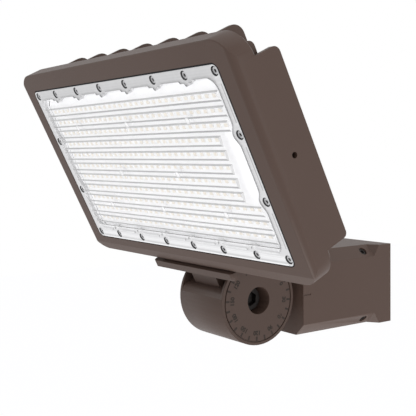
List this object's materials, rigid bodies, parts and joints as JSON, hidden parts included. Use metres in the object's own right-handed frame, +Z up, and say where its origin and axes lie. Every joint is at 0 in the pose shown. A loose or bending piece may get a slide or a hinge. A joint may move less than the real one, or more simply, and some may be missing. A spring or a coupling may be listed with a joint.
{
  "type": "flood light",
  "caption": "Rectangular finned flood light head with a ribbed clear lens, tilting on a dial-marked knuckle at the end of a square chamfered wall arm.",
  "frame": {"origin": "middle of the wall face at the rear of the arm, between the two wall bolt holes", "axes": "+Z up, +Y into the wall, +X to the dial side of the head, as seen with the arm level"},
  "size_m": [0.41, 0.3522, 0.3132],
  "materials": {
    "bronze_casting": "bronze powder coat, satin, fine texture",
    "clear_lens": "clear, glossy",
    "grey_seal": "matt silicone",
    "steel_fasteners": "bright stainless",
    "white_board": "white solder mask over metal",
    "light_sources": "pale yellow phosphor",
    "driver_case": "plain, satin",
    "pivot_steel": "dark plated",
    "bearing_brass": "satin",
    "friction_fibre": "matt",
    "bare_casting": "as cast"
  },
  "bodies": {
    "arm": {"arm": "bronze_casting", "wire_seal": "grey_seal", "pivot_bushing": "bearing_brass", "friction_washers": "friction_fibre", "mounting_plate": "bare_casting", "arm_screws": "pivot_steel", "ground_screw": "bearing_brass"},
    "head": {"housing": "bronze_casting", "accessory_inserts": "pivot_steel", "lens_plate": "clear_lens", "lens_gasket": "grey_seal", "lens_screws": "steel_fasteners", "led_board": "white_board", "led_strips": "light_sources", "board_screws": "steel_fasteners", "wire_grommet": "grey_seal", "led_driver": "driver_case", "driver_screws": "steel_fasteners", "driver_cover": "bronze_casting", "cover_gasket": "grey_seal", "cover_screws": "steel_fasteners", "flange_gasket": "grey_seal", "knuckle": "bronze_casting", "flange_bolts": "steel_fasteners", "pivot_bolt": "pivot_steel", "pivot_nut": "pivot_steel", "pivot_washers": "pivot_steel"}
  },
  "joints": [
    {"name": "head_tilt", "type": "hinge", "parent": "arm", "child": "head", "pos_m": [0, -0.1927, 0], "axis": [1, 0, 0], "range_deg": [-55.5, 64.5]}
  ]
}
